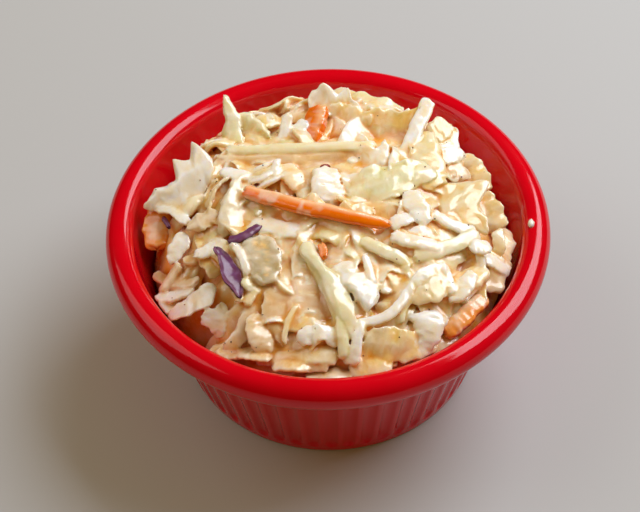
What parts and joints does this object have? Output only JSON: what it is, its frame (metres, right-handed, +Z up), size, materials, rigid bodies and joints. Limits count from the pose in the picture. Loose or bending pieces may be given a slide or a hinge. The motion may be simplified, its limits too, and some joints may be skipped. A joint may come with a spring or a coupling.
{
  "type": "coleslaw in a ramekin",
  "caption": "Creamy coleslaw of shredded cabbage and carrot, heaped above the thick round lip of a small red fluted ramekin with a flat base.",
  "frame": {"origin": "centre of the ramekin's flat base", "axes": "+Z up through the heap, -Y towards the side shown nearest in the picture"},
  "size_m": [0.089, 0.089, 0.0465],
  "materials": {
    "ramekin_red": "smooth glossy moulded melamine, one red all through",
    "slaw_cream": "wet cream-coloured cabbage under a thin milky dressing, with orange carrot and purple cabbage"
  },
  "bodies": {
    "root": {"ramekin": "ramekin_red", "slaw": "slaw_cream"}
  },
  "joints": []
}
